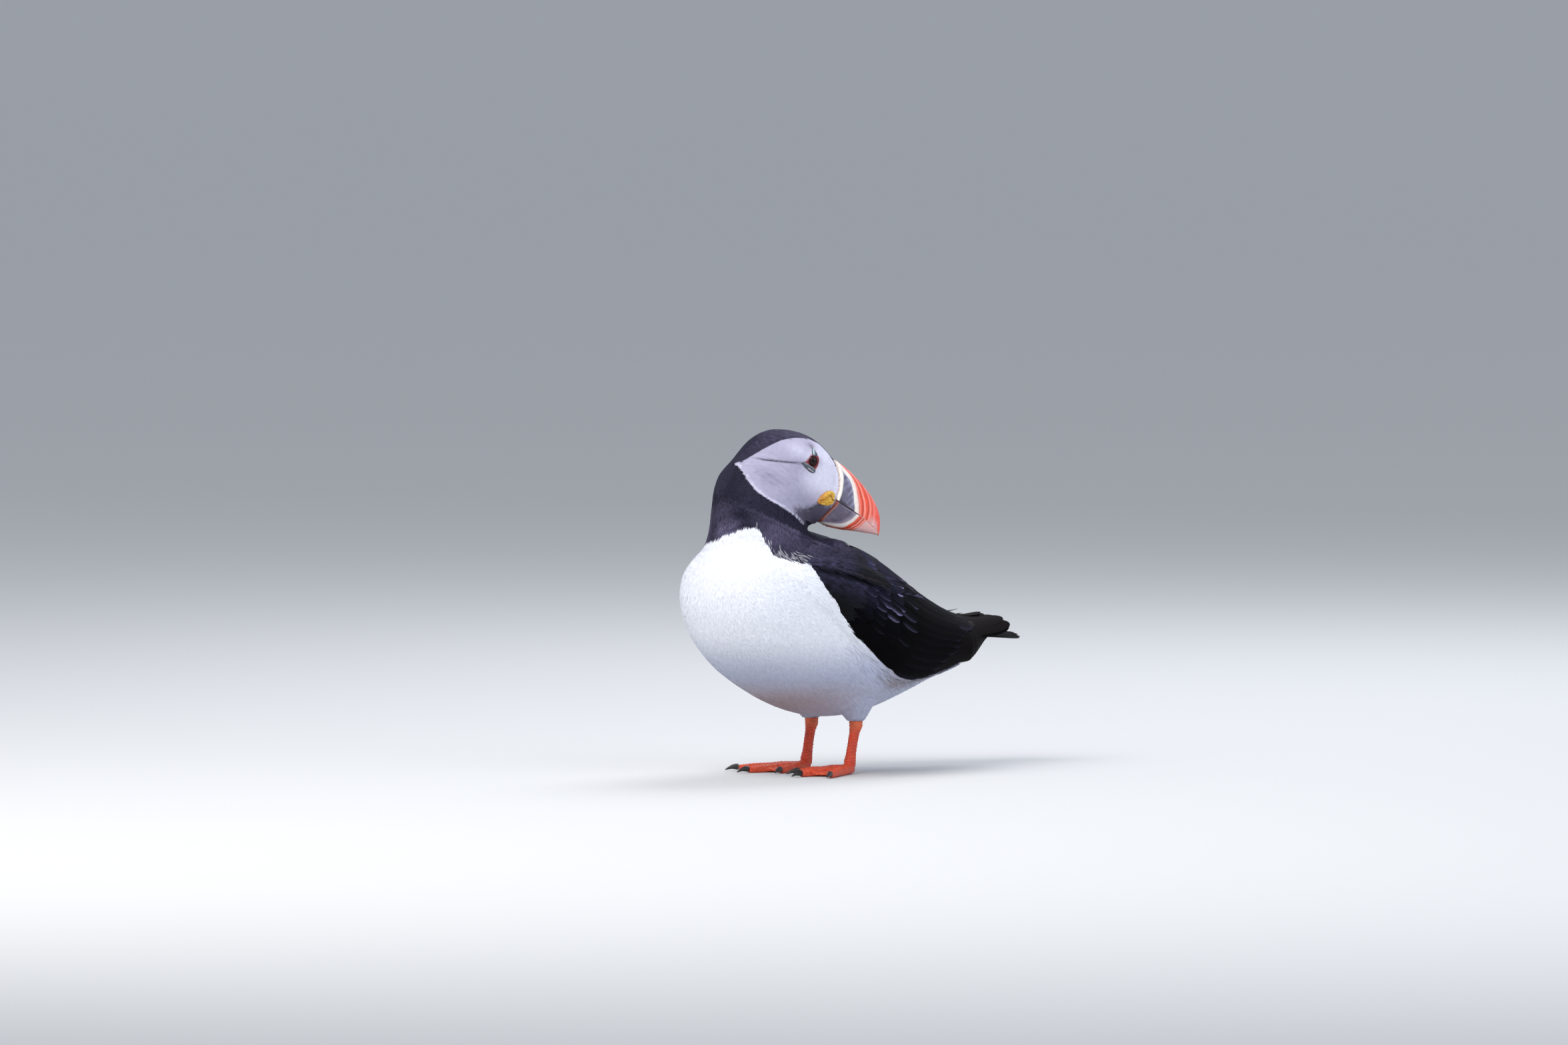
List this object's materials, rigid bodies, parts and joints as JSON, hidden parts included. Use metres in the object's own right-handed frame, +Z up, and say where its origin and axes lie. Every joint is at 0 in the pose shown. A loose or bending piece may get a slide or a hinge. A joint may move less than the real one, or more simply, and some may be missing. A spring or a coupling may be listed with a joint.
{
  "type": "atlantic puffin",
  "caption": "Life-size still model of a standing seabird looking back over its left shoulder, with separate bill, eyes, wings, tail, legs and webbed feet.",
  "frame": {"origin": "on the floor under the middle of the bird's bounding box", "axes": "+Z up, the body faces -Y, the bird's left side is +X; the head is turned far round to the left"},
  "size_m": [0.1008, 0.2182, 0.1864],
  "materials": {
    "white_feathers": "matte",
    "grey_feathers": "matte",
    "black_feathers": "silky",
    "bill_horn": "satin",
    "rosette_skin": "satin",
    "plate_horn": "satin",
    "eye_glass": "wet",
    "leg_skin": "satin",
    "claw_horn": "satin"
  },
  "bodies": {
    "root": {"back": "black_feathers", "bill_lower": "bill_horn", "bill_upper": "bill_horn", "claw_inner_left": "claw_horn", "claw_inner_right": "claw_horn", "claw_middle_left": "claw_horn", "claw_middle_right": "claw_horn", "claw_outer_left": "claw_horn", "claw_outer_right": "claw_horn", "eye_left": "eye_glass", "eye_plate_lower_left": "plate_horn", "eye_plate_lower_right": "plate_horn", "eye_plate_upper_left": "plate_horn", "eye_plate_upper_right": "plate_horn", "eye_right": "eye_glass", "foot_left": "leg_skin", "foot_right": "leg_skin", "head": "grey_feathers", "neck": "black_feathers", "rosette_left": "rosette_skin", "rosette_right": "rosette_skin", "shank_left": "leg_skin", "shank_right": "leg_skin", "tail": "black_feathers", "thigh_left": "white_feathers", "thigh_right": "white_feathers", "trunk": "white_feathers", "wing_left": "black_feathers", "wing_right": "black_feathers"}
  },
  "joints": []
}
